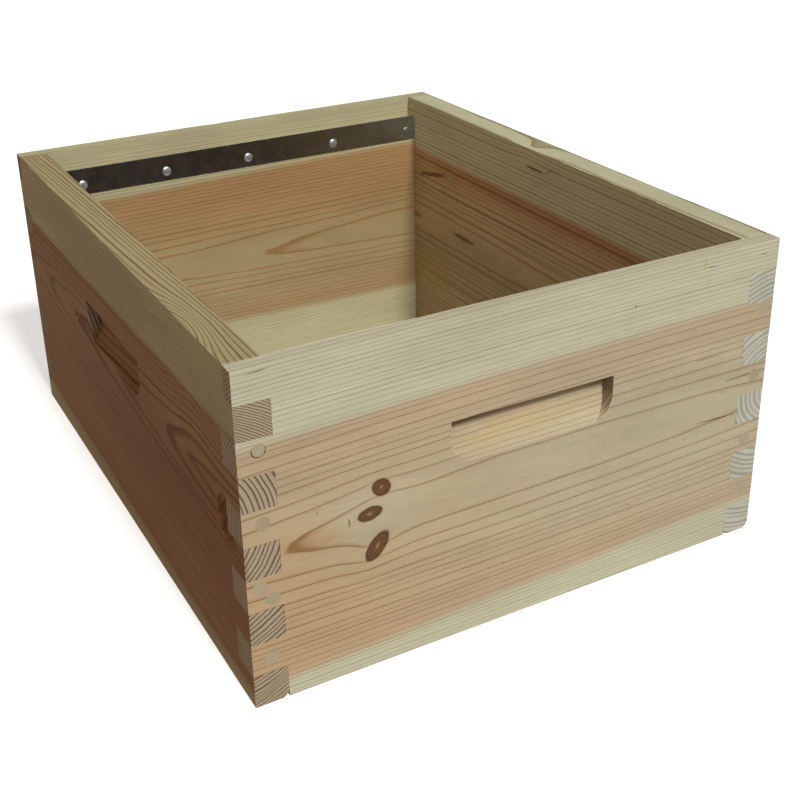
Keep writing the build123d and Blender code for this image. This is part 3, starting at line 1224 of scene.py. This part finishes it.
def lay_floor(settings):
    """A pale floor under the box."""
    shape = bmesh.new()
    bmesh.ops.create_grid(shape, x_segments=1, y_segments=1, size=settings.floor_size / 2)
    mesh = bpy.data.meshes.new("floor")
    shape.to_mesh(mesh)
    shape.free()
    mesh.materials.append(pale_floor())
    floor = bpy.data.objects.new("floor", mesh)
    bpy.context.scene.collection.objects.link(floor)


LIGHT_FAR = 3.0
KEY_FROM = Vector((0.02, -0.71, 0.70))
KEY_ANGLE = math.radians(9)
FILL_FROM = Vector((-0.90, -0.05, 0.43))
FILL_ANGLE = math.radians(40)


def hang_light(name, origin, angle, energy, tint):
    """A far light from one side."""
    light = bpy.data.lights.new(name, "SUN")
    light.energy = energy
    light.color = tint
    light.angle = angle
    lamp = bpy.data.objects.new(name, light)
    lamp.location = LIGHT_FAR * origin
    lamp.rotation_euler = (-origin).to_track_quat("-Z", "Y").to_euler()
    bpy.context.scene.collection.objects.link(lamp)


def hang_lights(settings):
    """A soft light high in front, a weak warm one from the left, and an even sky that looks pale."""
    hang_light("key_light", KEY_FROM, KEY_ANGLE, settings.key, (1.0, 1.0, 1.0))
    hang_light("fill_light", FILL_FROM, FILL_ANGLE, settings.fill, settings.fill_colour)
    world = bpy.data.worlds.new("sky")
    world.use_nodes = True
    graph = Graph(world.node_tree)
    seen = graph.node("ShaderNodeLightPath", {}).outputs["Is Camera Ray"]
    strength = graph.scaled(seen, settings.backdrop - settings.sky, settings.sky)
    background = world.node_tree.nodes["Background"]
    graph.fill(background.inputs, color=rgba((1, 1, 1)), strength=strength)
    bpy.context.scene.world = world


CAMERA_PLACE = Vector((-0.42697, -0.85705, 0.55785))
CAMERA_AIM = Vector((0.0226, -0.0065, 0.1215))
CAMERA_ROLL = math.radians(-1.261)
CAMERA_SHIFT = (0.01780, -0.09334)


def set_camera(settings):
    """The camera at the photograph's place."""
    data = bpy.data.cameras.new("camera")
    data.lens = settings.lens
    data.shift_x, data.shift_y = CAMERA_SHIFT
    camera = bpy.data.objects.new("camera", data)
    camera.location = CAMERA_PLACE
    level = (CAMERA_AIM - CAMERA_PLACE).to_track_quat("-Z", "Y").to_matrix()
    camera.rotation_euler = (level @ Matrix.Rotation(CAMERA_ROLL, 3, "Z")).to_euler()
    bpy.context.scene.collection.objects.link(camera)
    bpy.context.scene.camera = camera
    bpy.context.scene.view_settings.view_transform = "Standard"


# Operators


class HIVE_OT_end_boards(bpy.types.Operator):
    """Finish the front and back boards"""

    bl_idname = "hive_body.end_boards"
    bl_label = "End boards"
    bl_options = {"REGISTER", "UNDO"}

    def execute(self, context):
        board("front_board")
        board("back_board")
        return {"FINISHED"}


class HIVE_OT_side_boards(bpy.types.Operator):
    """Finish the left and right boards"""

    bl_idname = "hive_body.side_boards"
    bl_label = "Side boards"
    bl_options = {"REGISTER", "UNDO"}

    def execute(self, context):
        board("left_board")
        board("right_board")
        return {"FINISHED"}


class HIVE_OT_frame_rests(bpy.types.Operator):
    """Finish the two steel strips that the frames rest on"""

    bl_idname = "hive_body.frame_rests"
    bl_label = "Frame rests"
    bl_options = {"REGISTER", "UNDO"}

    def execute(self, context):
        for end in ENDS:
            strip(end)
        return {"FINISHED"}


class HIVE_OT_nails(bpy.types.Operator):
    """Finish the bright nails of the strips and the sunk nails of the corners"""

    bl_idname = "hive_body.nails"
    bl_label = "Nails"
    bl_options = {"REGISTER", "UNDO"}

    def execute(self, context):
        for end in ENDS:
            rest_nails(end)
        for corner in CORNERS:
            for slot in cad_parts[f"{corner}_corner_nails"].material_slots:
                slot.material = shared(bright_wire)
        return {"FINISHED"}


class HIVE_OT_nail_fillers(bpy.types.Operator):
    """Finish the filler over the sunk nails"""

    bl_idname = "hive_body.nail_fillers"
    bl_label = "Nail fillers"
    bl_options = {"REGISTER", "UNDO"}

    def execute(self, context):
        for corner in CORNERS:
            fillers(corner)
        return {"FINISHED"}


class HIVE_OT_stage(bpy.types.Operator):
    """Set up the floor, the light and the camera"""

    bl_idname = "hive_body.stage"
    bl_label = "Stage"
    bl_options = {"REGISTER", "UNDO"}

    def execute(self, context):
        settings = context.scene.hive_body.stage
        lay_floor(settings)
        hang_lights(settings)
        set_camera(settings)
        return {"FINISHED"}


class HIVE_PT_panel(bpy.types.Panel):
    """Steps of the hive body, in order"""

    bl_idname = "HIVE_PT_panel"
    bl_label = "Hive body"
    bl_space_type = "VIEW_3D"
    bl_region_type = "UI"
    bl_category = "Hive body"

    def draw(self, context):
        for operator in OPERATORS:
            self.layout.operator(operator.bl_idname)


GROUPS = (HivePine, HiveMetal, HiveFiller, HiveStage, HiveSettings)
OPERATORS = (
    HIVE_OT_end_boards, HIVE_OT_side_boards, HIVE_OT_frame_rests, HIVE_OT_nails, HIVE_OT_nail_fillers,
    HIVE_OT_stage,
)
CLASSES = GROUPS + OPERATORS + (HIVE_PT_panel,)


def register():
    for each in CLASSES:
        bpy.utils.register_class(each)
    bpy.types.Scene.hive_body = PointerProperty(type=HiveSettings)


def unregister():
    del bpy.types.Scene.hive_body
    for each in reversed(CLASSES):
        bpy.utils.unregister_class(each)


def main():
    """Builds every piece and sets up the stage."""
    register()
    bpy.ops.hive_body.end_boards()
    bpy.ops.hive_body.side_boards()
    bpy.ops.hive_body.frame_rests()
    bpy.ops.hive_body.nails()
    bpy.ops.hive_body.nail_fillers()
    bpy.ops.hive_body.stage()


if __name__ == "__main__":
    main()
